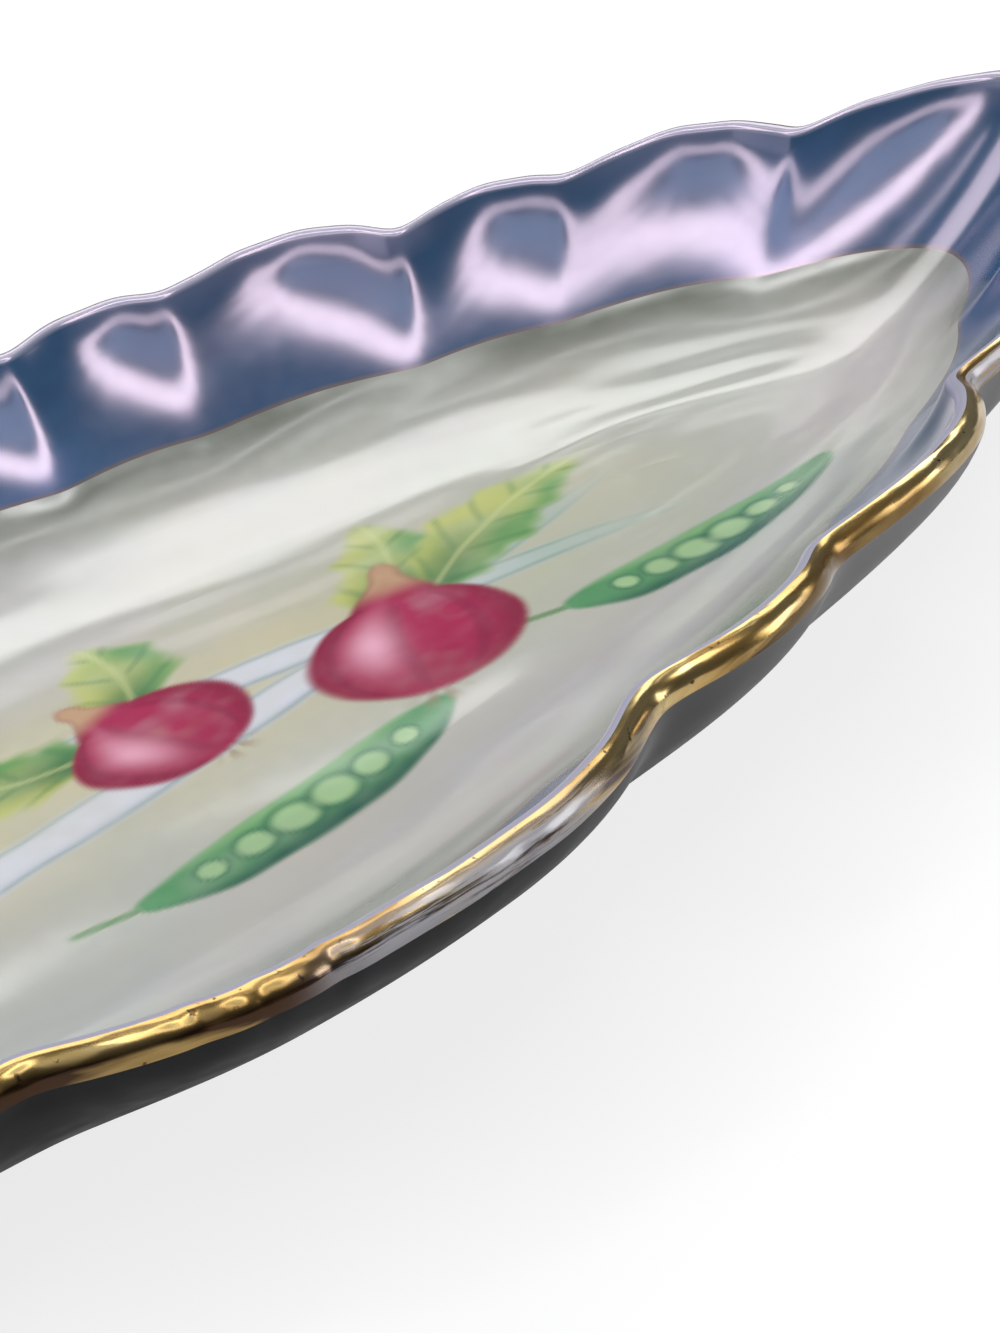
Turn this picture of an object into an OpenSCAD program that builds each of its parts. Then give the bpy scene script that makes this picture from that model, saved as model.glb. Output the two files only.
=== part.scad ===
// Shallow oval vegetable dish in glazed porcelain with a scalloped, rolled and gilded lip.
// The wall is lofted: one section, drawn as inset and height, is carried round a pointed oval,
// and the notches of the rim press the upper wall inwards and down, fading out below.
// Origin: centre of the ring the dish stands on, at table level. X runs along the dish.

/* [Overall] */
// Length over the lip
dish_l = 292; // [240:1:352]
// Width over the lip
dish_w = 155; // [128:1:186]
// Height to the top of the lobes
dish_h = 31; // [26:0.5:38]
// Fullness of the oval, where 2 is an ellipse and less is more pointed
oval_n = 1.54; // [1.46:0.02:2]
// Softening of the points of the oval, where 0 leaves them sharp
oval_soft = 0.2; // [0.1:0.05:0.4]

/* [Wall] */
// Thickness of the floor, glaze and all
floor_t = 3.5; // [3:0.25:5]
// Inset from the lip crest to the edge of the flat floor
floor_inset = 45; // [37:0.5:54]
// How far the well runs on level before it climbs, as a part of the floor inset
well_sweep = 0.3; // [0.25:0.01:0.45]
// Slope of the wall where it meets the lip, in degrees
rim_slope = 60; // [50:1:68]
// How long the wall holds that slope below the lip
rim_hold = 10; // [6:0.2:13]
// Extra thickness of the wall below the lip
wall_swell = 0.3; // [0:0.1:1.5]

/* [Lip] */
// Radius of the rolled lip
lip_r = 1.6; // [1.3:0.05:2.2]
// Angle below level at which the gilding, which starts on the crest, stops on the outside of the lip
gilt_to = 20; // [10:1:24]

/* [Scallops] */
// Half the lobe at the middle of each side, as a percentage of a quarter of the rim
mid_half = 16.7; // [14:0.1:18]
// Each short lobe, as a percentage of a quarter of the rim
short_lobe = 13.3; // [12:0.1:15]
// Each long lobe, as a percentage of a quarter of the rim
long_lobe = 20; // [17:0.1:21]
// How far a deep notch presses the lip inwards
deep_in = 6.2; // [3:0.1:8]
// How far a shallow notch presses the lip inwards
slight_in = 4.2; // [2:0.1:5.5]
// How far the lip drops at a deep notch
deep_drop = 1.8; // [0:0.1:4]
// How far the lip drops at a shallow notch
slight_drop = 1.3; // [0:0.1:3]
// Rounding of each notch
notch_round = 2.4; // [1.5:0.1:5]
// Reach of each notch along the rim
notch_reach = 17; // [12:0.5:19]
// Height above the floor at which the scallops begin
fade_from = 4; // [2:0.5:8]
// How slowly the scallops grow up the wall
fade_power = 1.3; // [1:0.05:2]

/* [Glaze] */
// Thickness of the pearl, lustre and gilt coats
coat_t = 0.4; // [0.3:0.01:0.6]
// Place up the inner wall where the pearl stops and the lustre starts
border_at = 0.5; // [0.42:0.01:0.6]

/* [Foot ring] */
// Height of the ring below the floor
foot_h = 3; // [2:0.25:5]
// How far the ring stands inside the edge of the flat underside
foot_step = 2.5; // [1.5:0.25:6]
// Thickness of the ring
foot_t = 3.5; // [2.5:0.25:5]

/* [Fineness] */
// Steps along each lobe
lobe_steps = 6; // [4:2:8]
// Steps along half the lobe at the middle of a side
mid_steps = 4; // [3:1:6]
// Steps along half the lobe at an end
end_steps = 5; // [4:1:8]

/* [Hidden] */

// Crest line of the lip, half-length and half-width
crest_a = dish_l / 2 - lip_r;
crest_b = dish_w / 2 - lip_r;
lip_z = dish_h - lip_r;
floor_z = foot_h + floor_t;

// Pointed oval: a power of sine and cosine, made linear near zero so that no corner is left
function soften(v) = (v * v + oval_soft * oval_soft) / (1 + oval_soft * oval_soft);
function opow(v) = v * pow(soften(v), 1 / oval_n - 1 / 2);
function oval(a, b, t) = [a * opow(sin(t)), b * opow(cos(t))];

// Length along the crest from the middle of a side to an end, against the angle of the oval
function step_len(t) = norm(oval(crest_a, crest_b, t + 1) - oval(crest_a, crest_b, t));
CREST = [for (t = 0, s = 0; t <= 90; s = s + step_len(t), t = t + 1) [s, t]];
quarter_len = CREST[90][0];
function angle_at(s) = lookup(s, CREST);

// Notches along one quarter, deep and shallow in turn, from the side lobe to the end lobe
mid_end = quarter_len * mid_half / 100;
short_len = quarter_len * short_lobe / 100;
long_len = quarter_len * long_lobe / 100;
NOTCH_AT = [
    mid_end,
    mid_end + short_len,
    mid_end + short_len + long_len,
    mid_end + 2 * short_len + long_len,
    mid_end + 2 * short_len + 2 * long_len
];
last_notch = len(NOTCH_AT) - 1;
function deep(k) = k % 2 == 0;
function notch_in(k) = deep(k) ? deep_in : slight_in;
function notch_drop(k) = deep(k) ? deep_drop : slight_drop;

// One notch: a rounded cusp that dies away within its reach, also felt across the two mirror planes
function cusp(x) = sqrt(x * x + notch_round * notch_round) - notch_round;
function bite(x) = pow(max(0, 1 - cusp(x) / notch_reach), 2);
function bites(s, c) = bite(s - c) + bite(s + c) + bite(2 * quarter_len - s - c);
function total(list, i = 0) = i < len(list) ? list[i] + total(list, i + 1) : 0;
function press_in(s) = total([for (k = [0:last_notch]) notch_in(k) * bites(s, NOTCH_AT[k])]);
function press_down(s) = total([for (k = [0:last_notch]) notch_drop(k) * bites(s, NOTCH_AT[k])]);

// Stations round the rim, closing up towards each notch
function ease(u) = u - 0.5 * sin(360 * u) / (2 * PI);
function lobe(from, span, n) = [for (i = [0:n - 1]) from + span * ease(i / n)];
function to_notch(span, n) = [for (i = [0:n - 1]) span * (2 * ease(0.5 + i / n / 2) - 1)];
function from_notch(from, span, n) = [for (i = [0:n - 1]) from + span * 2 * ease(i / n / 2)];
QUARTER_S = concat(
    to_notch(NOTCH_AT[0], mid_steps),
    lobe(NOTCH_AT[0], short_len, lobe_steps),
    lobe(NOTCH_AT[1], long_len, lobe_steps),
    lobe(NOTCH_AT[2], short_len, lobe_steps),
    lobe(NOTCH_AT[3], long_len, lobe_steps),
    from_notch(NOTCH_AT[4], quarter_len - NOTCH_AT[4], end_steps)
);
per_quarter = len(QUARTER_S);
stations = 4 * per_quarter;

// One turn from the middle of the far side, as [angle of the oval, length in its own quarter]
function station(i) =
    let (q = floor(i / per_quarter), j = i % per_quarter)
    let (s = q % 2 == 0 ? QUARTER_S[j] : j == 0 ? quarter_len : QUARTER_S[per_quarter - j])
    [q % 2 == 0 ? 90 * q + angle_at(s) : 90 * (q + 1) - angle_at(s), s];
STATIONS = [for (i = [0:stations - 1]) station(i)];
PRESS = [for (st = STATIONS) [press_in(st[1]), press_down(st[1])]];

// Curves of the section, as [inset from the crest, height]
function unit(v) = v / norm(v);
function bez(p, u) =
    pow(1 - u, 3) * p[0] + 3 * u * pow(1 - u, 2) * p[1] + 3 * u * u * (1 - u) * p[2] + pow(u, 3) * p[3];
function bez_dir(p, u) =
    pow(1 - u, 2) * (p[1] - p[0]) + 2 * u * (1 - u) * (p[2] - p[1]) + u * u * (p[3] - p[2]);
function lip_pt(r, phi) = [-r * cos(phi), lip_z + r * sin(phi)];

// The well leaves the floor level and climbs ever more steeply into the lip
lip_in = lip_pt(lip_r, 90 + rim_slope);
lip_out = lip_pt(lip_r, rim_slope - 90);
rim_down = [cos(rim_slope), -sin(rim_slope)];
rim_out = [-sin(rim_slope), -cos(rim_slope)];
sweep_inset = floor_inset * (1 - well_sweep);
WELL = [
    [floor_inset, floor_z],
    [sweep_inset, floor_z],
    lip_in + rim_hold * rim_down,
    lip_in
];
// The outer wall runs on from the lip at the same slope and turns in to the flat underside
OUTER = [
    lip_out,
    lip_out + rim_hold * rim_down + wall_swell * rim_out,
    [sweep_inset - lip_r, foot_h],
    [floor_inset - 1, foot_h]
];

// Section points get a third figure, their share of the scallops at that height
fade_z = floor_z + fade_from;
function climb(z) = max(0, min(1, (z - fade_z) / (dish_h - fade_z)));
function share(z) = pow(sin(90 * climb(z)), fade_power);
function with_share(p, z) = [p[0], p[1], share(z)];

// Faces of the section; set back by the coat they give its bed
pearl_steps = 4;
lustre_steps = 4;
outer_steps = 5;
GILT_PHI = [90, 45, 0, -gilt_to];
function well_row(u, back) =
    let (p = bez(WELL, u), d = unit(bez_dir(WELL, u)))
    with_share(p + back * [-d[1], d[0]], p[1]);
function lip_row(phi, back) = with_share(lip_pt(lip_r - back, phi), lip_pt(lip_r, phi)[1]);
function outer_row(u) = let (p = bez(OUTER, u)) with_share(p, p[1]);
function pearl_face(back) = [for (i = [0:pearl_steps]) well_row(border_at * i / pearl_steps, back)];
function lustre_face(back) = concat(
    [for (i = [0:lustre_steps]) well_row(border_at + (1 - border_at) * i / lustre_steps, back)],
    [lip_row(90 + rim_slope / 2, back), lip_row(90, back)]
);
function gilt_face(back) = [for (phi = GILT_PHI) lip_row(phi, back)];
function tail(list) = [for (i = [1:len(list) - 1]) list[i]];
function flip(list) = [for (i = [len(list) - 1:-1:0]) list[i]];

// Carry one section point round the oval
function ring(p) = [for (i = [0:stations - 1])
    let (d = p[0] + p[2] * PRESS[i][0], xy = oval(crest_a - d, crest_b - d, STATIONS[i][0]))
    [xy[0], xy[1], p[1] - p[2] * PRESS[i][1]]];

// Skin a run of section points; a closed run ends where it began, an open one gets two flat caps
module loft(section, closed) {
    rows = len(section);
    pts = [for (p = section) each ring(p)];
    spans = closed ? rows : rows - 1;
    sides = [for (r = [0:spans - 1], i = [0:stations - 1])
        let (
            j = (i + 1) % stations,
            a = r * stations,
            b = (r + 1) % rows * stations
        )
        each [[a + i, b + j, a + j], [a + i, b + i, b + j]]];
    caps = closed ? [] : [
        [for (i = [0:stations - 1]) i],
        [for (i = [stations - 1:-1:0]) (rows - 1) * stations + i]
    ];
    polyhedron(points = pts, faces = concat(sides, caps), convexity = 8);
}

// Porcelain shell: bed of the coats, a ledge below the gilding, roll of the lip, outer wall
module body() {
    color([0.93, 0.93, 0.91])
        loft(concat(
            pearl_face(coat_t),
            tail(lustre_face(coat_t)),
            tail(gilt_face(coat_t)),
            [lip_row(-gilt_to, 0), lip_row(rim_slope - 90, 0)],
            [for (i = [1:outer_steps]) outer_row(i / outer_steps)]
        ), false);
}

module pearl_well() {
    color([0.80, 0.82, 0.78])
        loft(concat(pearl_face(coat_t), flip(pearl_face(0))), false);
}

module lustre_border() {
    color([0.25, 0.36, 0.48])
        loft(concat(lustre_face(coat_t), flip(lustre_face(0))), true);
}

module gold_rim() {
    color([0.80, 0.62, 0.28])
        loft(concat(gilt_face(coat_t), flip(gilt_face(0))), true);
}

// Outline of the foot, an inset of the same oval
foot_turn = 360 / 72;
module foot_outline(inset) {
    polygon([for (t = [0:foot_turn:360 - foot_turn]) oval(crest_a - inset, crest_b - inset, t)]);
}

// The ring seats flat against the underside, inside the turn of the wall
module foot_ring() {
    foot_inset = floor_inset + foot_step;
    color([0.86, 0.83, 0.77])
        linear_extrude(height = foot_h)
            difference() {
                foot_outline(foot_inset);
                foot_outline(foot_inset + foot_t);
            }
}

body();
foot_ring();
pearl_well();
lustre_border();
gold_rim();
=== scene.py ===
# Looks of a scalloped vegetable dish: lofted pieces, painting, glazes, gilding, light and camera

import math
from types import SimpleNamespace

import bmesh
import bpy
import numpy as np
from mathutils import Matrix, Vector


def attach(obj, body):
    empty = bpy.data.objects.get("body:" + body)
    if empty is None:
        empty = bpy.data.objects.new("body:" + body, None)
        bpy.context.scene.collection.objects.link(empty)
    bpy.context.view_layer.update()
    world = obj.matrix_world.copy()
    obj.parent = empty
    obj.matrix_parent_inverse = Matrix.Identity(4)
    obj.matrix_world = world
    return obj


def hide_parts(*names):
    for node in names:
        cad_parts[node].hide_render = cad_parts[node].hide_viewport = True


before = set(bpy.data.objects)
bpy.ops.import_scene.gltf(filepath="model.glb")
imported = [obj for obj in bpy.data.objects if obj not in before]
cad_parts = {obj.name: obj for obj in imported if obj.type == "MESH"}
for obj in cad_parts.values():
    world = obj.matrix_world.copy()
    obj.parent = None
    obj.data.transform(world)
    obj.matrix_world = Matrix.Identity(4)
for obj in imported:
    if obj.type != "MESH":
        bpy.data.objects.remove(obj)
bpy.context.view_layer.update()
scene = bpy.context.scene
MM = 0.001

# Sizes of the dish in millimetres, degrees and shares, as in the part's source
DISH_L, DISH_W, DISH_H = 292.0, 155.0, 31.0
OVAL_N, OVAL_SOFT = 1.54, 0.2
FLOOR_T, FLOOR_INSET, WELL_SWEEP, UNDER_STEP = 3.5, 45.0, 0.3, 1.0
RIM_SLOPE, RIM_HOLD, WALL_SWELL = 60.0, 10.0, 0.3
LIP_R, GILT_FROM, GILT_TO = 1.6, 90.0, -20.0
MID_HALF, SHORT_LOBE, LONG_LOBE = 0.167, 0.133, 0.2
DEEP_IN, SLIGHT_IN, DEEP_DROP, SLIGHT_DROP = 6.2, 4.2, 1.8, 1.3
NOTCH_ROUND, NOTCH_REACH = 2.4, 17.0
FADE_FROM, FADE_POWER = 4.0, 1.3
COAT_T, BORDER_AT = 0.4, 0.5
FOOT_H, FOOT_STEP, FOOT_T, FOOT_EDGE = 3.0, 2.5, 3.5, 0.5
CREST_A, CREST_B = DISH_L / 2 - LIP_R, DISH_W / 2 - LIP_R
LIP_Z, FLOOR_Z = DISH_H - LIP_R, FOOT_H + FLOOR_T
LIP_INNER, LIP_OUTER = 90 + RIM_SLOPE, RIM_SLOPE - 90
# Radius of the bend at the floor's edge, and how far the glaze spreads it either way
BEND_R, EASE_REACH = 18.0, 6.0
# Unevenness of the hand-finished lip: waves round the rim and their depth
LIP_WANDER = ((29, 0.25), (47, 0.2), (79, 0.15))
# Dents in the near lip: place left of its middle, half width and depth
LIP_DENTS = ((7.4, 1.1, 0.6), (12.3, 0.8, 0.4), (16.6, 1.2, 0.6))
# How sharply that unevenness is held to the lip
LIP_ONLY = 24
# Worn stretches of the gilding: place left of the near lip's middle, and half length
WORN = ((-4, 12), (-86, 7), (-205, 16), (-268, 10), (95, 14), (178, 9), (240, 20), (318, 15))
# Stations round the rim: points of the measured quarter, and steps of the pearl and of the rest
QUARTER_POINTS, PEARL_STATIONS, RIM_STATIONS = 2001, 960, 1440
# Steps along the section, for the glazed faces, the outer wall and the hidden beds of the coats
FLOOR_STEPS, WELL_STEPS, BORDER_STEPS, LIP_STEPS, GILT_STEPS, OUTER_STEPS = 64, 28, 30, 8, 14, 32
BED_STEPS, LIP_BED_STEPS, GILT_BED_STEPS, LIP_END_STEPS = 6, 3, 4, 3
# Half width of the floor's innermost ring, and the angles above which an edge stays sharp
FLOOR_CORE, SHARP, FOOT_SHARP = 0.05, 35.0, 60.0
# Share of the foot's edge that the middle of its rounding keeps from either side
FOOT_ROUND = 0.3


def smooth(low, high, x):
    """A soft step from 0 at low to 1 at high."""
    x = np.clip((x - low) / (high - low), 0, 1)
    return x * x * (3 - 2 * x)


# Rim: stations at equal steps along the lip crest, and how far the notches press there
def oval_power(v):
    return v * ((v * v + OVAL_SOFT**2) / (1 + OVAL_SOFT**2)) ** (1 / OVAL_N - 0.5)


def bite(x):
    return np.maximum(0, 1 - (np.hypot(x, NOTCH_ROUND) - NOTCH_ROUND) / NOTCH_REACH) ** 2


def make_rim(count):
    """Stations from the far side's middle round by the right end, and what a section needs there."""
    t = np.linspace(0, math.pi / 2, QUARTER_POINTS)
    x, y = CREST_A * oval_power(np.sin(t)), CREST_B * oval_power(np.cos(t))
    lengths = np.concatenate([[0], np.cumsum(np.hypot(np.diff(x), np.diff(y)))])
    quarter = lengths[-1]
    s = np.linspace(0, quarter, count // 4 + 1)
    angle = np.interp(s, lengths, t)
    half = np.concatenate([angle[:-1], math.pi - angle[:0:-1]])
    turn = np.concatenate([half, half + math.pi])
    s = np.tile(np.concatenate([s[:-1], s[:0:-1]]), 2)
    press_in, press_down = np.zeros(count), np.zeros(count)
    lobes = [MID_HALF, SHORT_LOBE, LONG_LOBE, SHORT_LOBE, LONG_LOBE]
    for k, notch in enumerate(np.cumsum(lobes) * quarter):
        felt = bite(s - notch) + bite(s + notch) + bite(2 * quarter - s - notch)
        press_in += (SLIGHT_IN if k % 2 else DEEP_IN) * felt
        press_down += (SLIGHT_DROP if k % 2 else DEEP_DROP) * felt
    around = np.arange(count) * math.tau / count
    left = np.arange(count) * 4 * quarter / count - 2 * quarter
    wander = sum(
        depth * (1 + np.sin(waves * around + waves)) / 2 for waves, depth in LIP_WANDER
    )
    for place, reach, depth in LIP_DENTS:
        wander += depth * np.exp(-(((left - place) / reach) ** 2))
    return SimpleNamespace(
        count=count, press_in=press_in, press_down=press_down, wander=wander,
        wear=sum(np.exp(-(((left - place) / reach) ** 6)) for place, reach in WORN),
        along=oval_power(np.sin(turn)), across=oval_power(np.cos(turn)),
        circle=2 * quarter / math.pi * np.array([np.cos(around), np.sin(around)]),
    )


# Section: rows of inset from the crest, height and share of the scallops
def lip_pt(r, degrees):
    a = math.radians(degrees)
    return np.array([-r * math.cos(a), LIP_Z + r * math.sin(a)])


def bezier(p, u):
    v = 1 - u
    return v**3 * p[0] + 3 * u * v**2 * p[1] + 3 * u * u * v * p[2] + u**3 * p[3]


def bezier_dir(p, u):
    v = 1 - u
    d = v**2 * (p[1] - p[0]) + 2 * u * v * (p[2] - p[1]) + u * u * (p[3] - p[2])
    return d / np.linalg.norm(d)


slope = math.radians(RIM_SLOPE)
lip_in, lip_out = lip_pt(LIP_R, LIP_INNER), lip_pt(LIP_R, LIP_OUTER)
rim_down = np.array([math.cos(slope), -math.sin(slope)])
rim_out = np.array([-math.sin(slope), -math.cos(slope)])
sweep_inset = FLOOR_INSET * (1 - WELL_SWEEP)
WELL = [
    np.array([FLOOR_INSET, FLOOR_Z]),
    np.array([sweep_inset, FLOOR_Z]),
    lip_in + RIM_HOLD * rim_down,
    lip_in,
]
OUTER = [
    lip_out,
    lip_out + RIM_HOLD * rim_down + WALL_SWELL * rim_out,
    np.array([sweep_inset - LIP_R, FOOT_H]),
    np.array([FLOOR_INSET - UNDER_STEP, FOOT_H]),
]
FADE_Z = FLOOR_Z + FADE_FROM


def row(p, z):
    climb = min(1.0, max(0.0, (z - FADE_Z) / (DISH_H - FADE_Z)))
    return (p[0], p[1], math.sin(math.pi / 2 * climb) ** FADE_POWER)


def well_rows(u0, u1, steps, back=0.0):
    rows = []
    for u in np.linspace(u0, u1, steps + 1):
        p, d = bezier(WELL, u), bezier_dir(WELL, u)
        rows.append(row(p + back * np.array([-d[1], d[0]]), p[1]))
    return rows


def lip_rows(from_angle, to_angle, steps, back=0.0):
    angles = np.linspace(from_angle, to_angle, steps + 1)
    return [row(lip_pt(LIP_R - back, a), lip_pt(LIP_R, a)[1]) for a in angles]


def outer_rows(steps):
    return [row(p, p[1]) for p in (bezier(OUTER, u) for u in np.linspace(0, 1, steps + 1))]


def floor_rows(steps):
    insets = np.linspace(CREST_B - FLOOR_CORE, FLOOR_INSET, steps + 1)
    return [(inset, FLOOR_Z, 0.0) for inset in insets]


def eased(rows):
    """Spread the bend where the wall leaves the floor, as thick glaze does, less up the wall."""
    out = []
    for inset, height, share in rows:
        past = FLOOR_INSET - inset
        x = min(1.0, max(-1.0, past / EASE_REACH))
        lift = (1 + x) ** 3 if x < 0 else 2 - (1 - x) ** 3
        lift *= EASE_REACH**2 / 12 / BEND_R * smooth(4 * EASE_REACH, EASE_REACH, past)
        out.append((inset, height + lift, share))
    return out


# Mesh: the rows carried round the rim
def loft(name, rim, rows, closed, sharp=SHARP):
    """One mesh from section rows.

    Its attribute "ring" has the rim's length wrapped on a circle in x and y, and the
    section's length in z, so that noise read from it has no seam.
    """
    n, rows = rim.count, np.array(rows)
    at_lip = rows[:, 2:] ** LIP_ONLY
    inset = rows[:, :1] + rows[:, 2:] * rim.press_in + at_lip * rim.wander
    height = rows[:, 1:2] - rows[:, 2:] * rim.press_down - at_lip * rim.wander / 2
    x, y = (CREST_A - inset) * rim.along, (CREST_B - inset) * rim.across
    points = np.stack([x, y, height], -1)
    faces = []
    for r in range(len(rows) if closed else len(rows) - 1):
        a, b = r * n, (r + 1) % len(rows) * n
        faces += [(a + i, a + (i + 1) % n, b + (i + 1) % n, b + i) for i in range(n)]
    if not closed:
        for base in (0, (len(rows) - 1) * n):
            faces += cap(base, n)
    mesh = bpy.data.meshes.new(name)
    mesh.from_pydata((points.reshape(-1, 3) * MM).tolist(), [], faces)
    shape = bmesh.new()
    shape.from_mesh(mesh)
    bmesh.ops.recalc_face_normals(shape, faces=shape.faces)
    shape.to_mesh(mesh)
    shape.free()
    ring = np.zeros((len(rows), n, 3))
    ring[..., 0], ring[..., 1] = rim.circle
    lengths = np.linalg.norm(np.diff(rows[:, :2], axis=0), axis=1)
    ring[1:, :, 2] = np.cumsum(lengths)[:, None]
    places = mesh.attributes.new("ring", "FLOAT_VECTOR", "POINT")
    places.data.foreach_set("vector", (ring * MM).ravel())
    mesh.shade_smooth()
    mesh.set_sharp_from_angle(angle=math.radians(sharp))
    obj = bpy.data.objects.new(name, mesh)
    scene.collection.objects.link(obj)
    return obj


def cap(base, n):
    """Strips from side to side across one ring."""
    faces = []
    for i in range(-n // 4, n // 4):
        ends = [i % n, (i + 1) % n, (n // 2 - i - 1) % n, (n // 2 - i) % n]
        faces.append([base + k for k in dict.fromkeys(ends)])
    return faces


# Pieces: each coat has its face and its bed, and the shell has the beds and the outer wall
pearl_rim, rim = make_rim(PEARL_STATIONS), make_rim(RIM_STATIONS)
pearl_bed = well_rows(0, BORDER_AT, BED_STEPS, COAT_T)
lustre_bed = well_rows(BORDER_AT, 1, BED_STEPS, COAT_T)
lustre_bed += lip_rows(LIP_INNER, GILT_FROM, LIP_BED_STEPS, COAT_T)[1:]
gilt_bed = lip_rows(GILT_FROM, GILT_TO, GILT_BED_STEPS, COAT_T)

pearl_face = eased(floor_rows(FLOOR_STEPS) + well_rows(0, BORDER_AT, WELL_STEPS)[1:])
PEARL_LEN = MM * sum(math.dist(a[:2], b[:2]) for a, b in zip(pearl_face, pearl_face[1:]))
pearl = loft("pearl_glazed_well", pearl_rim, pearl_face + pearl_bed[::-1], closed=False)

lustre_face = well_rows(BORDER_AT, 1, BORDER_STEPS)
lustre_face += lip_rows(LIP_INNER, GILT_FROM, LIP_STEPS)[1:]
lustre = loft("lustre_glazed_border", rim, lustre_face + lustre_bed[::-1], closed=True)

gilt_face = lip_rows(GILT_FROM, GILT_TO, GILT_STEPS)
gilt = loft("gilded_lip", rim, gilt_face + gilt_bed[::-1], closed=True)
wear = np.resize(rim.wear, len(gilt.data.vertices))
gilt.data.attributes.new("wear", "FLOAT", "POINT").data.foreach_set("value", wear)

shell_rows = pearl_bed + lustre_bed[1:] + gilt_bed[1:]
shell_rows += lip_rows(GILT_TO, LIP_OUTER, LIP_END_STEPS) + outer_rows(OUTER_STEPS)[1:]
shell = loft("porcelain_shell", rim, shell_rows, closed=False)

foot_in = FLOOR_INSET + FOOT_STEP
foot_out = foot_in + FOOT_T
bevel = FOOT_EDGE * FOOT_ROUND
foot_rows = [
    (foot_in, FOOT_H, 0),
    (foot_in, FOOT_EDGE, 0),
    (foot_in + bevel, bevel, 0),
    (foot_in + FOOT_EDGE, 0, 0),
    (foot_out - FOOT_EDGE, 0, 0),
    (foot_out - bevel, bevel, 0),
    (foot_out, FOOT_EDGE, 0),
    (foot_out, FOOT_H, 0),
]
foot = loft("unglazed_foot_ring", rim, foot_rows, closed=True, sharp=FOOT_SHARP)


def srgb(r, g, b):
    """Linear colour of a screen colour given in 0 to 255."""
    return tuple(
        c / 255 / 12.92 if c < 10.3 else ((c / 255 + 0.055) / 1.055) ** 2.4 for c in (r, g, b)
    )


# Painting: a loose spray of garden vegetables, laid as soft washes on the floor of the well
GROUND_CREAM, GROUND_SAND, GROUND_SAGE = (214, 200, 148), (212, 200, 154), (176, 184, 160)
LEAF_PALE, LEAF_YELLOW, LEAF_GREEN = (172, 188, 108), (202, 200, 112), (92, 152, 88)
LEAF_DARK, LEAF_VEIN, LEAF_RIB = (44, 108, 66), (64, 124, 76), (206, 210, 146)
ONION_RED, ONION_EDGE, ONION_BASE = (168, 28, 78), (126, 16, 52), (142, 22, 62)
ONION_SKIN, ONION_SHINE, ONION_NECK = (122, 14, 58), (232, 170, 190), (196, 168, 128)
ONION_ROOT = (150, 128, 104)
POD_GREEN, POD_SHADE, POD_LIGHT = (84, 146, 96), (28, 78, 72), (150, 192, 132)
POD_STEM = (96, 140, 92)
PEA_GREEN, PEA_EDGE, PEAS = (186, 214, 160), (34, 92, 72), 6
STALK_WHITE, STALK_SHADE, STALK_EDGE = (212, 214, 222), (164, 170, 190), (124, 150, 140)
STALK_TIP, STALK_FOOT = (112, 156, 112), (168, 150, 160)
# Wobble of the painter's hand and the spacing of its waves, in millimetres
WOBBLE, WOBBLE_SIZE = 0.7, 6


def grain(x, y, size, seed):
    """Smooth noise from 0 to 1 whose blotches are about the given size."""
    x, y = x / size + 17.3 * seed, y / size - 9.1 * seed
    i, j = np.floor(x), np.floor(y)
    u, v = smooth(0, 1, x - i), smooth(0, 1, y - j)

    def corner(a, b):
        h = np.sin(a * 127.1 + b * 311.7 + seed) * 43758.5453
        return h - np.floor(h)

    low = corner(i, j) * (1 - u) + corner(i + 1, j) * u
    high = corner(i, j + 1) * (1 - u) + corner(i + 1, j + 1) * u
    return low * (1 - v) + high * v


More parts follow.
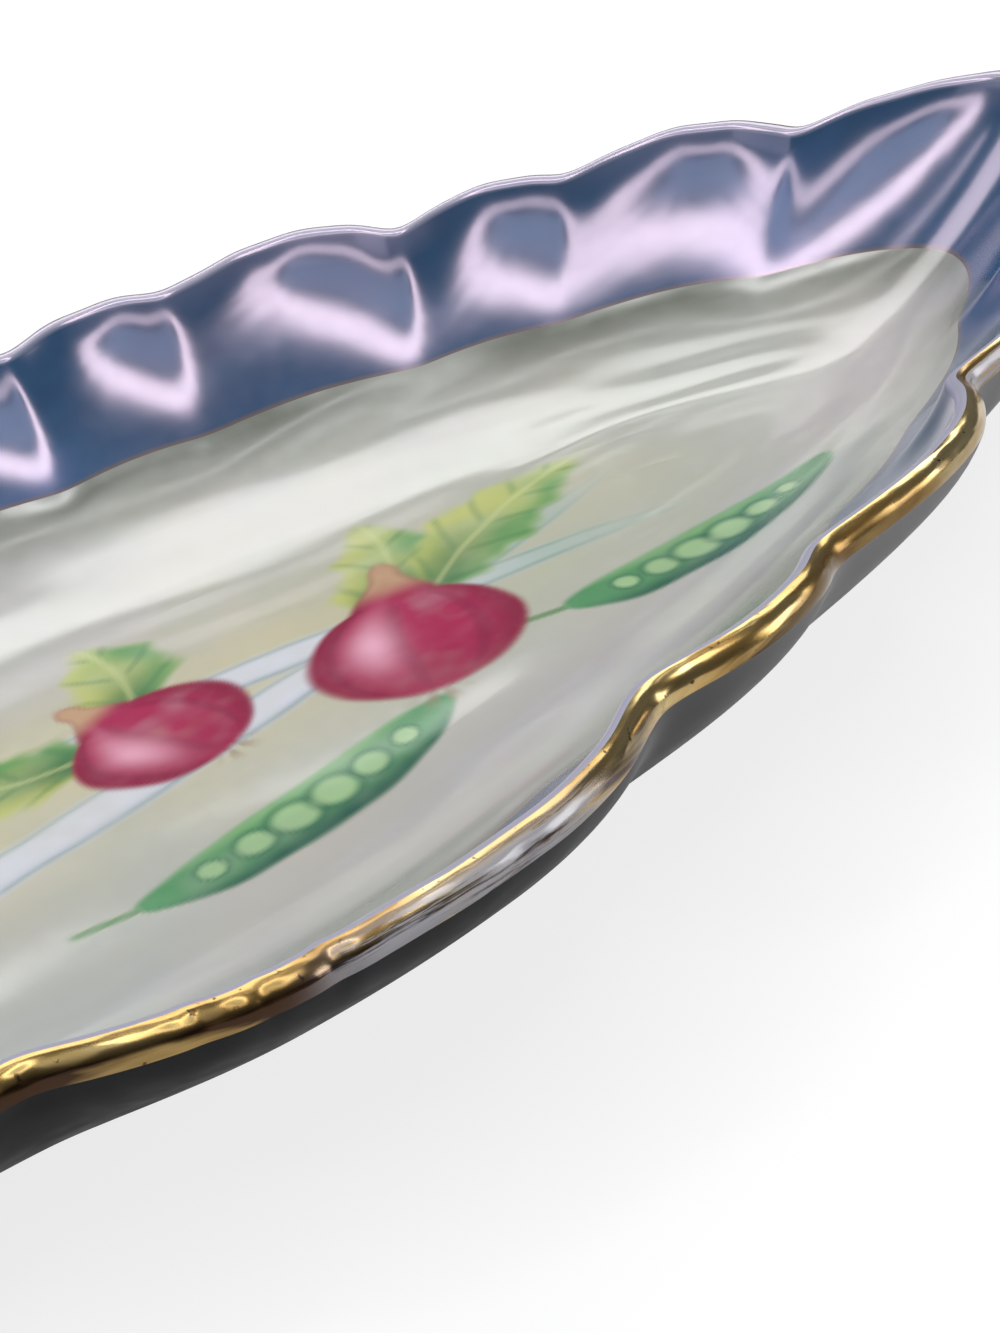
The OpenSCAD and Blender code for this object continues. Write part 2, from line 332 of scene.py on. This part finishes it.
class Painting:
    """Washes of colour laid over one another at the points of a surface, in millimetres."""

    def __init__(self, x, y):
        self.x = x + WOBBLE * (grain(x, y, WOBBLE_SIZE, 1) - 0.5)
        self.y = y + WOBBLE * (grain(x, y, WOBBLE_SIZE, 2) - 0.5)
        self.rgb = np.zeros((len(x), 3))
        self.alpha = np.zeros(len(x))
        self.brush = 0.7 + 0.4 * grain(x, y, 7, 3) + 0.2 * grain(x, y, 2, 4)

    def wash(self, cover, colour):
        cover = np.clip(cover * self.brush, 0, 1)
        alpha = cover + self.alpha * (1 - cover)
        part = np.divide(cover, alpha, out=np.zeros_like(alpha), where=alpha > 0)[:, None]
        self.rgb = self.rgb * (1 - part) + np.array(srgb(*colour)) * part
        self.alpha = alpha

    def local(self, x, y, degrees, bend=0.0, length=1.0):
        """Places along and beside a line from x, y, bowed sideways by bend over its length."""
        a = math.radians(degrees)
        dx, dy = self.x - x, self.y - y
        u, v = dx * math.cos(a) + dy * math.sin(a), dy * math.cos(a) - dx * math.sin(a)
        t = u / length
        return u, v - bend * 4 * t * (1 - t), t

    def ground(self, x, y, length, width, degrees, colour, strength):
        u, v, _ = self.local(x, y, degrees)
        self.wash(strength * np.exp(-((u / length) ** 2) - (v / width) ** 2), colour)

    def leaf(self, x, y, degrees, length, width, bend):
        u, v, t = self.local(x, y, degrees, bend, length)
        lobes = 1 + 0.12 * np.sin(u * 0.7 - np.abs(v) * 0.35) + 0.06 * np.sin(u * 1.5)
        half = width * np.sin(math.pi * np.clip(t, 0, 1) ** 0.75) * lobes
        inside = smooth(1.4, -1.4, np.abs(v) - half)
        inside = inside * smooth(-0.02, 0.08, t) * smooth(1.05, 0.85, t)
        side = v / width
        near_rib = smooth(0.6, 0.05, t) * smooth(1.0, 0.1, np.abs(side))
        veins = smooth(0.6, 1.0, np.sin(u * 0.95 - np.abs(v) * 0.9))
        self.wash(0.85 * inside, LEAF_PALE)
        self.wash(0.6 * inside * smooth(0.0, 0.7, side + 0.3 * np.sin(u * 0.4)), LEAF_YELLOW)
        self.wash(0.8 * inside * smooth(0.0, 0.7, -side + 0.2 * np.sin(u * 0.55)), LEAF_GREEN)
        self.wash(0.85 * inside * near_rib, LEAF_DARK)
        self.wash(0.35 * inside * veins * smooth(0.3, 1.4, np.abs(v)), LEAF_VEIN)
        self.wash(0.4 * inside * smooth(0.7, 0.1, np.abs(v)), LEAF_RIB)

    def onion(self, x, y, degrees, radius):
        u, v, _ = self.local(x, y, degrees)
        u, v = u / radius, v / radius
        body = np.sqrt(np.clip(1 - (u / 0.93) ** 2, 0, 1))
        neck = 0.13 + 0.33 * smooth(1.35, 0.72, u)
        half = np.where(u > 0.72, np.maximum(neck * smooth(1.75, 1.45, u), body), body)
        edge = np.where(u > 0, np.abs(v) - half, np.hypot(u / 0.93, v) - 1)
        inside = smooth(0.07, -0.07, edge) * smooth(1.75, 1.5, u)
        across = np.clip(v / np.maximum(half, 0.05), -1, 1)
        skins = smooth(0.55, 1.0, np.sin(8 * np.arcsin(across) + 0.5))
        shine = np.exp(-(((u - 0.12) / 0.5) ** 2) - ((across - 0.38) / 0.24) ** 2)
        roots = np.abs(np.sin(5 * np.arctan2(v, -u - 0.8)))
        tuft = smooth(0.4, 0.05, np.hypot(u + 0.95, v)) * smooth(0.06, 0.2, -u - 0.86)
        self.wash(inside, ONION_RED)
        self.wash(0.75 * inside * smooth(0.5, 1.0, np.abs(across)), ONION_EDGE)
        self.wash(0.5 * inside * smooth(0.2, -0.9, u), ONION_BASE)
        self.wash(0.4 * inside * skins * smooth(1.0, 0.6, np.abs(u)), ONION_SKIN)
        self.wash(0.85 * inside * shine, ONION_SHINE)
        self.wash(0.85 * inside * smooth(0.85, 1.25, u), ONION_NECK)
        self.wash(0.7 * (tuft * smooth(0.3, 0.9, roots)), ONION_ROOT)

    def pod(self, x, y, degrees, length, width, bend):
        u, v, t = self.local(x, y, degrees, bend, length)
        half = width * np.clip(4 * t * (1 - t), 0, 1) ** 0.6
        inside = smooth(0.8, -0.5, np.abs(v) - half)
        inside = inside * smooth(-0.01, 0.03, t) * smooth(1.01, 0.97, t)
        self.wash(inside, POD_GREEN)
        self.wash(0.9 * inside * smooth(0.1, 0.9, -v / width), POD_SHADE)
        self.wash(0.55 * inside * smooth(0.4, 0.9, v / width), POD_LIGHT)
        centre = (PEAS - 1) / 2
        for k in range(PEAS):
            middle = length * (0.2 + 0.12 * k)
            size = 0.62 * width * (1 - 0.5 * abs(k - centre) / centre)
            pea = np.hypot(u - middle, v - 0.1 * width) / size
            self.wash(0.65 * inside * smooth(1.15, 0.6, pea), PEA_GREEN)
            self.wash(0.45 * inside * np.exp(-(((pea - 1.1) / 0.2) ** 2)), PEA_EDGE)
        stem = smooth(0.9, 0.3, np.abs(v)) * smooth(-0.16, -0.12, t) * smooth(0.03, 0.0, t)
        self.wash(0.8 * stem, POD_STEM)

    def stalk(self, x, y, degrees, length, width, bend):
        u, v, t = self.local(x, y, degrees, bend, length)
        half = width * (1 - 0.35 * t) * np.sqrt(np.clip((1 - t) / 0.3, 0, 1))
        inside = smooth(0.9, -0.7, np.abs(v) - half)
        inside = inside * smooth(-0.01, 0.03, t) * smooth(1.0, 0.8, t)
        edge = np.exp(-(((np.abs(v) - half * 0.92) / 0.5) ** 2))
        self.wash(0.85 * inside, STALK_WHITE)
        self.wash(0.5 * inside * smooth(0.2, 0.9, -v / width), STALK_SHADE)
        self.wash(0.6 * inside * edge, STALK_EDGE)
        self.wash(0.7 * inside * smooth(0.62, 1.0, t), STALK_TIP)
        self.wash(0.5 * inside * smooth(0.06, 0.0, t), STALK_FOOT)


def paint_spray(p):
    """Lay the spray from back to front, with places from the dish's middle in millimetres."""
    p.ground(20, 4, 60, 18, 0, GROUND_CREAM, 0.45)
    p.ground(-42, 0, 44, 16, 0, GROUND_SAND, 0.45)
    p.ground(60, -8, 26, 10, 12, GROUND_SAGE, 0.35)
    p.stalk(-60, -10, 7, 138, 3.8, -4)
    p.stalk(-56, 11, -9, 136, 3.4, 5)
    p.leaf(4, 4, 150, 30, 6.5, 3)
    p.leaf(10, 8, 88, 20, 6.0, -2)
    p.leaf(38, 2, 66, 24, 6.5, -3)
    p.leaf(44, 0, 22, 34, 6.5, 3)
    p.leaf(-50, -4, 232, 22, 5.5, 2)
    p.leaf(-52, 4, 124, 22, 6.0, -2)
    p.leaf(-60, 0, 176, 32, 6.0, -3)
    p.leaf(-36, 4, 64, 22, 6.0, 2)
    p.pod(50, -16, -2, 38, 4.6, -3)
    p.pod(-6, -25, 8, 40, 4.6, -3)
    p.pod(-28, 15, 176, 36, 4.4, -3)
    p.onion(37, -7, 70, 12.0)
    p.onion(10, 1, 112, 10.0)
    p.onion(-46, -2, 100, 11.5)


spots = np.zeros(len(pearl.data.vertices) * 3)
pearl.data.vertices.foreach_get("co", spots)
spots = spots.reshape(-1, 3) / MM
painting = Painting(spots[:, 0], spots[:, 1])
paint_spray(painting)
washes = np.column_stack([painting.rgb, painting.alpha]).astype(np.float32)
coats = pearl.data.color_attributes.new("painting", "FLOAT_COLOR", "POINT")
coats.data.foreach_set("color", washes.ravel())


# Materials
class Nodes:
    """Short-hand for one material's node tree."""

    def __init__(self, name):
        self.mat = bpy.data.materials.new(name)
        self.mat.use_nodes = True
        self.tree = self.mat.node_tree
        self.bsdf = self.tree.nodes["Principled BSDF"]

    def add(self, kind, **values):
        node = self.tree.nodes.new(kind)
        for key, value in values.items():
            if key in node.inputs:
                node.inputs[key].default_value = value
            else:
                setattr(node, key, value)
        return node

    def link(self, source, target):
        self.tree.links.new(source, target)

    def feed(self, name, source):
        self.link(source, self.bsdf.inputs[name])

    def set(self, **values):
        for key, value in values.items():
            self.bsdf.inputs[key.replace("_", " ")].default_value = value

    def attribute(self, name, output):
        return self.add("ShaderNodeAttribute", attribute_name=name).outputs[output]

    def scaled(self, kind, scale):
        """Places on the ring or in the dish's own space, in metres times the scale."""
        if kind == "rim":
            source = self.attribute("ring", "Vector")
        else:
            source = self.add("ShaderNodeTexCoord").outputs["Object"]
        mapping = self.add("ShaderNodeMapping", Scale=scale)
        self.link(source, mapping.inputs["Vector"])
        return mapping.outputs["Vector"]

    def noise(self, kind, scale, detail, rough, distortion=0.0):
        node = self.add(
            "ShaderNodeTexNoise",
            Scale=1.0, Detail=detail, Roughness=rough, Distortion=distortion,
        )
        self.link(self.scaled(kind, scale), node.inputs["Vector"])
        return node.outputs["Fac"]

    def axis(self, vector, name):
        split = self.add("ShaderNodeSeparateXYZ")
        self.link(vector, split.inputs["Vector"])
        return split.outputs[name]

    def place(self, name):
        """Place along one axis of the dish, in metres."""
        return self.axis(self.scaled("object", (1, 1, 1)), name)

    def section(self):
        """Length along the section, in metres."""
        return self.axis(self.attribute("ring", "Vector"), "Z")

    def spread(self, value, low, high, clamp=True):
        node = self.add("ShaderNodeMapRange", clamp=clamp)
        node.inputs["From Min"].default_value = low
        node.inputs["From Max"].default_value = high
        self.link(value, node.inputs["Value"])
        return node.outputs["Result"]

    def ramp(self, fac, *stops):
        node = self.add("ShaderNodeValToRGB")
        elements = node.color_ramp.elements
        while len(elements) < len(stops):
            elements.new(0.5)
        for element, (at, colour) in zip(elements, stops):
            rgb = colour if isinstance(colour, tuple) else (colour, colour, colour)
            element.position, element.color = at, (*rgb, 1)
        self.link(fac, node.inputs["Fac"])
        return node.outputs["Color"]

    def mix(self, fac, a, b):
        node = self.add("ShaderNodeMix", data_type="RGBA")
        for value, socket in ((fac, node.inputs[0]), (a, node.inputs[6]), (b, node.inputs[7])):
            if isinstance(value, tuple):
                socket.default_value = (*value, 1)
            else:
                self.link(value, socket)
        return node.outputs[2]

    def calc(self, operation, a, b):
        node = self.add("ShaderNodeMath", operation=operation)
        for value, socket in ((a, node.inputs[0]), (b, node.inputs[1])):
            if isinstance(value, float):
                socket.default_value = value
            else:
                self.link(value, socket)
        return node.outputs[0]

    def both(self, a, b):
        return self.calc("MULTIPLY", a, b)

    def bump(self, height, strength, distance):
        node = self.add("ShaderNodeBump", Strength=strength, Distance=distance)
        self.link(height, node.inputs["Height"])
        self.feed("Normal", node.outputs["Normal"])


# Colours of the materials, and lengths and places on the dish in metres
PEARL_GREY, PEARL_PALE, PEARL_ROSE = srgb(168, 173, 166), srgb(180, 182, 176), srgb(186, 180, 179)
PEARL_CREAM, PEARL_PAINTED_SHADE = srgb(194, 189, 170), srgb(112, 116, 106)
# Below the pearl's upper edge: depth of the painted shade, and where the wall's swell starts and is
# full
SHADE_DEPTH, SWELL_START, SWELL_FULL = 0.02, 0.046, 0.03
LUSTRE_DEEP, LUSTRE_BLUE, LUSTRE_VIOLET = srgb(14, 62, 96), srgb(24, 76, 112), srgb(54, 90, 136)
LUSTRE_LAVENDER, LIP_INSIDE = srgb(150, 146, 176), srgb(172, 171, 187)
BORDER_LINE, LUSTRE_GLINT, LUSTRE_LEN = srgb(104, 86, 62), srgb(244, 218, 238), 0.026
GOLD_DEEP, GOLD_MID, GOLD_PALE = srgb(150, 116, 62), srgb(196, 164, 102), srgb(233, 216, 164)
SOOT_AND_SHADE, PIT, BARE_LIP, GILT_LEN = srgb(58, 38, 22), srgb(70, 46, 26), srgb(170, 167, 172), 0.0031
# Places along the dish between which the soot and painted shade on the gilding's lower half give way
# to bright gold
SOOT_AND_SHADE_TO, BRIGHT_FROM = 0.03, 0.09
WALL_GREY, WALL_PALE, WALL_PAINTED_SHADE = srgb(158, 158, 159), srgb(170, 169, 170), srgb(32, 32, 34)
# Where the painted shade on the outer wall gives way: upwards, to the right and to the back
WALL_LOW, WALL_HIGH, WALL_LEFT, WALL_RIGHT = 0.003, 0.028, 0.005, 0.05
WALL_NEAR, WALL_FAR = -0.03, 0.03
BISQUE_DARK, BISQUE_PALE = srgb(196, 186, 168), srgb(226, 219, 204)


def pearl_material():
    n = Nodes("pearl_glaze")
    broad = n.noise("object", (14, 26, 26), 3, 0.5, 0.6)
    tint = n.ramp(broad, (0.3, PEARL_GREY), (0.5, PEARL_PALE), (0.7, PEARL_ROSE))
    cloud = n.noise("object", (45, 90, 90), 2, 0.5)
    tint = n.mix(n.ramp(cloud, (0.45, 0.0), (0.75, 0.35)), tint, PEARL_CREAM)
    # Painted shade just under the lustre border, in patches round the rim
    up = n.spread(n.section(), PEARL_LEN - SHADE_DEPTH, PEARL_LEN)
    shade = n.ramp(n.noise("rim", (26, 26, 60), 2, 0.5, 0.8), (0.35, 0.5), (0.6, 1.0))
    tint = n.mix(n.both(n.ramp(up, (0.3, 0.0), (0.9, 1.0)), shade), tint, PEARL_PAINTED_SHADE)
    painted = n.add("ShaderNodeAttribute", attribute_name="painting")
    n.feed("Base Color", n.mix(painted.outputs["Alpha"], tint, painted.outputs["Color"]))
    fine_grain = n.noise("object", (420, 420, 420), 2, 0.6)
    n.feed("Roughness", n.ramp(fine_grain, (0.35, 0.16), (0.7, 0.22)))
    n.set(IOR=1.8, Coat_Weight=0.2, Coat_Roughness=0.08)
    n.set(Thin_Film_Thickness=350.0, Thin_Film_IOR=1.8)
    wall = n.spread(n.section(), PEARL_LEN - SWELL_START, PEARL_LEN - SWELL_FULL)
    swell = n.spread(n.noise("rim", (14, 14, 46), 1, 0.4, 0.5), 0.5, 1.5, clamp=False)
    n.bump(n.both(n.ramp(wall, (0.0, 0.0), (1.0, 1.0)), swell), 1.0, 0.0034)
    return n.mat


def lustre_material():
    n = Nodes("lustre_glaze")
    broad = n.noise("object", (30, 30, 60), 3, 0.55, 0.4)
    deep = n.ramp(broad, (0.3, LUSTRE_DEEP), (0.55, LUSTRE_BLUE), (0.75, LUSTRE_VIOLET))
    up = n.spread(n.section(), 0.0, LUSTRE_LEN)
    # Paler lavender in patches towards the lip, partly the lustre's own tone and partly a painted
    # sheen
    thin_and_sheen = n.ramp(n.noise("rim", (22, 22, 1), 2, 0.5), (0.46, 0.0), (0.62, 0.7))
    fade = n.both(n.ramp(up, (0.76, 0.0), (0.92, 0.9)), thin_and_sheen)
    colour = n.mix(fade, deep, LUSTRE_LAVENDER)
    colour = n.mix(n.ramp(up, (0.92, 0.0), (0.96, 1.0)), colour, LIP_INSIDE)
    line = n.ramp(up, (0.0, 0.75), (0.012, 0.65), (0.035, 0.0))
    n.feed("Base Color", n.mix(line, colour, BORDER_LINE))
    fine_grain = n.noise("object", (500, 500, 500), 2, 0.6)
    n.feed("Roughness", n.ramp(fine_grain, (0.35, 0.16), (0.7, 0.18)))
    n.set(IOR=2.35, Specular_Tint=(*LUSTRE_GLINT, 1), Coat_Weight=0.15, Coat_Roughness=0.1)
    n.bump(n.noise("object", (70, 70, 70), 2, 0.4), 0.1, 0.0008)
    return n.mat


def gilt_material():
    n = Nodes("worn_gilding")
    tone = n.noise("rim", (70, 70, 260), 4, 0.5, 0.5)
    gold = n.ramp(tone, (0.3, GOLD_DEEP), (0.5, GOLD_MID), (0.7, GOLD_PALE))
    down = n.spread(n.section(), 0.0, GILT_LEN)
    # Darker lower gilding: tarnish together with painted shade and dark reflection, fading towards
    # the right
    soot_and_shade = n.ramp(n.noise("rim", (55, 55, 220), 4, 0.55, 0.8), (0.36, 0.25), (0.5, 1.0))
    bright = n.spread(n.place("X"), SOOT_AND_SHADE_TO, BRIGHT_FROM)
    soot_and_shade = n.both(soot_and_shade, n.ramp(bright, (0.0, 1.0), (1.0, 0.2)))
    gold = n.mix(n.both(n.ramp(down, (0.36, 0.0), (0.6, 1.0)), soot_and_shade), gold, SOOT_AND_SHADE)
    pits = n.ramp(n.noise("rim", (1300, 1300, 1300), 2, 0.5), (0.68, 0.0), (0.74, 0.9))
    gold = n.mix(pits, gold, PIT)
    stretch = n.attribute("wear", "Fac")
    streak = n.ramp(n.noise("rim", (70, 70, 1500), 5, 0.7, 0.3), (0.4, 0.0), (0.52, 1.0))
    worn = n.both(n.ramp(down, (0.12, 0.15), (0.4, 1.0)), n.both(stretch, streak))
    n.feed("Base Color", n.mix(worn, gold, BARE_LIP))
    n.feed("Metallic", n.ramp(worn, (0.3, 1.0), (0.7, 0.1)))
    n.feed("Roughness", n.ramp(tone, (0.3, 0.3), (0.7, 0.16)))
    n.set(Coat_Weight=0.2, Coat_Roughness=0.08)
    n.bump(n.noise("rim", (85, 85, 260), 3, 0.45), 0.5, 0.001)
    return n.mat


def porcelain_material():
    n = Nodes("grey_porcelain")
    broad = n.noise("object", (20, 20, 20), 3, 0.5)
    pale = n.ramp(broad, (0.35, WALL_GREY), (0.7, WALL_PALE))
    # Painted shade on the outer wall: darker towards the bottom, the left and the near side
    low = n.ramp(n.spread(n.place("Z"), WALL_LOW, WALL_HIGH), (0.3, 1.0), (0.95, 0.85))
    left = n.ramp(n.spread(n.place("X"), WALL_LEFT, WALL_RIGHT), (0.0, 1.0), (1.0, 0.0))
    near = n.ramp(n.spread(n.place("Y"), WALL_NEAR, WALL_FAR), (0.0, 1.0), (1.0, 0.3))
    shaded = n.both(n.both(low, left), near)
    n.feed("Base Color", n.mix(shaded, pale, WALL_PAINTED_SHADE))
    fine_grain = n.noise("object", (350, 350, 350), 2, 0.5)
    n.feed("Roughness", n.ramp(fine_grain, (0.3, 0.36), (0.7, 0.48)))
    n.set(IOR=1.4, Specular_IOR_Level=0.01)
    n.bump(n.noise("object", (55, 55, 55), 2, 0.4), 0.1, 0.0008)
    return n.mat


def bisque_material():
    n = Nodes("unglazed_foot")
    grit = n.noise("object", (900, 900, 900), 3, 0.6)
    n.feed("Base Color", n.ramp(grit, (0.3, BISQUE_DARK), (0.7, BISQUE_PALE)))
    n.feed("Roughness", n.ramp(grit, (0.3, 0.7), (0.7, 0.85)))
    n.bump(grit, 0.35, 0.0003)
    return n.mat


for piece, node, slot, material in (
    (pearl, "pearl_well", "pearl", pearl_material()),
    (lustre, "lustre_border", "lustre", lustre_material()),
    (gilt, "gold_rim", "gilding", gilt_material()),
    (shell, "body", "porcelain", porcelain_material()),
    (foot, "foot_ring", "foot", bisque_material()),
):
    piece.data.materials.append(material)
    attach(piece, "root")
    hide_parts(node)

# Table: a grey that the camera and reflections see as white, with the shadow kept
TABLE_SIZE, TABLE_GREY, TABLE_LIFT = 8, 0.22, 0.8
bpy.ops.mesh.primitive_plane_add(size=TABLE_SIZE)
table = bpy.context.object
table.name = "table"
cloth = Nodes("white_table")
cloth.set(Base_Color=(TABLE_GREY, TABLE_GREY, TABLE_GREY, 1), Roughness=0.9)
cloth.set(Specular_IOR_Level=0.0, Emission_Color=(1, 1, 1, 1))
ray = cloth.add("ShaderNodeLightPath").outputs
through = cloth.calc("MAXIMUM", ray["Is Glossy Ray"], ray["Is Transmission Ray"])
seen = cloth.calc("MAXIMUM", ray["Is Camera Ray"], through)
cloth.feed("Emission Strength", cloth.calc("MULTIPLY", seen, TABLE_LIFT))
table.data.materials.append(cloth.mat)

# Light: a dim room, a window behind, an oval ring of panels and a strip above, a panel each side
ROOM_COLOUR, ROOM_STRENGTH = (0.95, 0.97, 1.0, 1), 0.14
# Point that every lamp faces, in metres
AIM = (0.03, 0.0, 0.02)
world = bpy.data.worlds.new("studio")
world.use_nodes = True
room = world.node_tree.nodes["Background"].inputs
room["Color"].default_value, room["Strength"].default_value = ROOM_COLOUR, ROOM_STRENGTH
scene.world = world


def softbox(name, place, width, height, watts, slide=(0, 0), colour=(1, 1, 1)):
    """An area lamp facing the aim, slid sideways and upwards in its own plane."""
    lamp = bpy.data.lights.new(name, "AREA")
    lamp.shape, lamp.size, lamp.size_y = "RECTANGLE", width, height
    lamp.energy, lamp.color = watts, colour
    obj = bpy.data.objects.new(name, lamp)
    scene.collection.objects.link(obj)
    facing = (Vector(AIM) - Vector(place)).to_track_quat("-Z", "Y").to_matrix().to_4x4()
    obj.matrix_world = Matrix.Translation(place) @ facing @ Matrix.Translation((*slide, 0))


# Middle of the ring, its half axes, and the size and number of its panels
RING_AT, RING_A, RING_B, PANEL, PANELS = (-0.28, -0.3, 1.08), 0.52, 0.34, 0.17, 20
# Watts of the whole ring, and how many more it would have if all were like its top panel
RING_WATTS, RING_LEAN = 9, 4
SKY_BLUE, PALE_BLUE = (0.6, 0.8, 1.0), (0.8, 0.88, 1.0)
for k in range(PANELS):
    turn = math.tau * k / PANELS
    spot = (RING_A * math.cos(turn), RING_B * math.sin(turn))
    watts = (RING_WATTS + RING_LEAN * math.sin(turn)) / PANELS
    softbox(f"ring_{k}", RING_AT, PANEL, PANEL, watts, spot)
softbox("ring_middle", RING_AT, 0.6, 0.32, 0.8, colour=SKY_BLUE)
softbox("window", (0.35, 0.74, 0.98), 1.8, 0.5, 8.5)
softbox("overhead_strip", (0.15, 0.28, 1.25), 1.2, 0.08, 0.9)
softbox("right_panel", (0.9, -0.75, 0.35), 0.6, 0.5, 5)
softbox("left_panel", (-1.1, 0.1, 0.7), 0.9, 0.7, 1.5, colour=PALE_BLUE)

# Camera: fitted to the photograph's rim, notches, border and underside
AZIMUTH, ELEVATION, ROLL = math.radians(-27.55), math.radians(30.02), math.radians(-15.10)
DISTANCE, TARGET = 213.5, np.array([44.5, -9.73, 0.0])
FOCAL_PX, IMAGE_W, SENSOR, CLIP_START = 1968.7, 1000, 36.0, 0.005
level = math.cos(ELEVATION)
away = np.array([math.sin(AZIMUTH) * level, -math.cos(AZIMUTH) * level, math.sin(ELEVATION)])
side = np.array([math.cos(AZIMUTH), math.sin(AZIMUTH), 0.0])
rise = np.cross(away, side)
across = math.cos(ROLL) * side + math.sin(ROLL) * rise
upward = math.cos(ROLL) * rise - math.sin(ROLL) * side
stand = (TARGET + DISTANCE * away) * MM
lens = bpy.data.cameras.new("camera")
lens.sensor_fit, lens.sensor_width = "HORIZONTAL", SENSOR
lens.lens, lens.clip_start = SENSOR * FOCAL_PX / IMAGE_W, CLIP_START
camera = bpy.data.objects.new("camera", lens)
axes = np.column_stack([across, upward, away, stand]).tolist()
camera.matrix_world = Matrix([*axes, (0, 0, 0, 1)])
scene.collection.objects.link(camera)
scene.camera = camera
scene.view_settings.view_transform = "Standard"
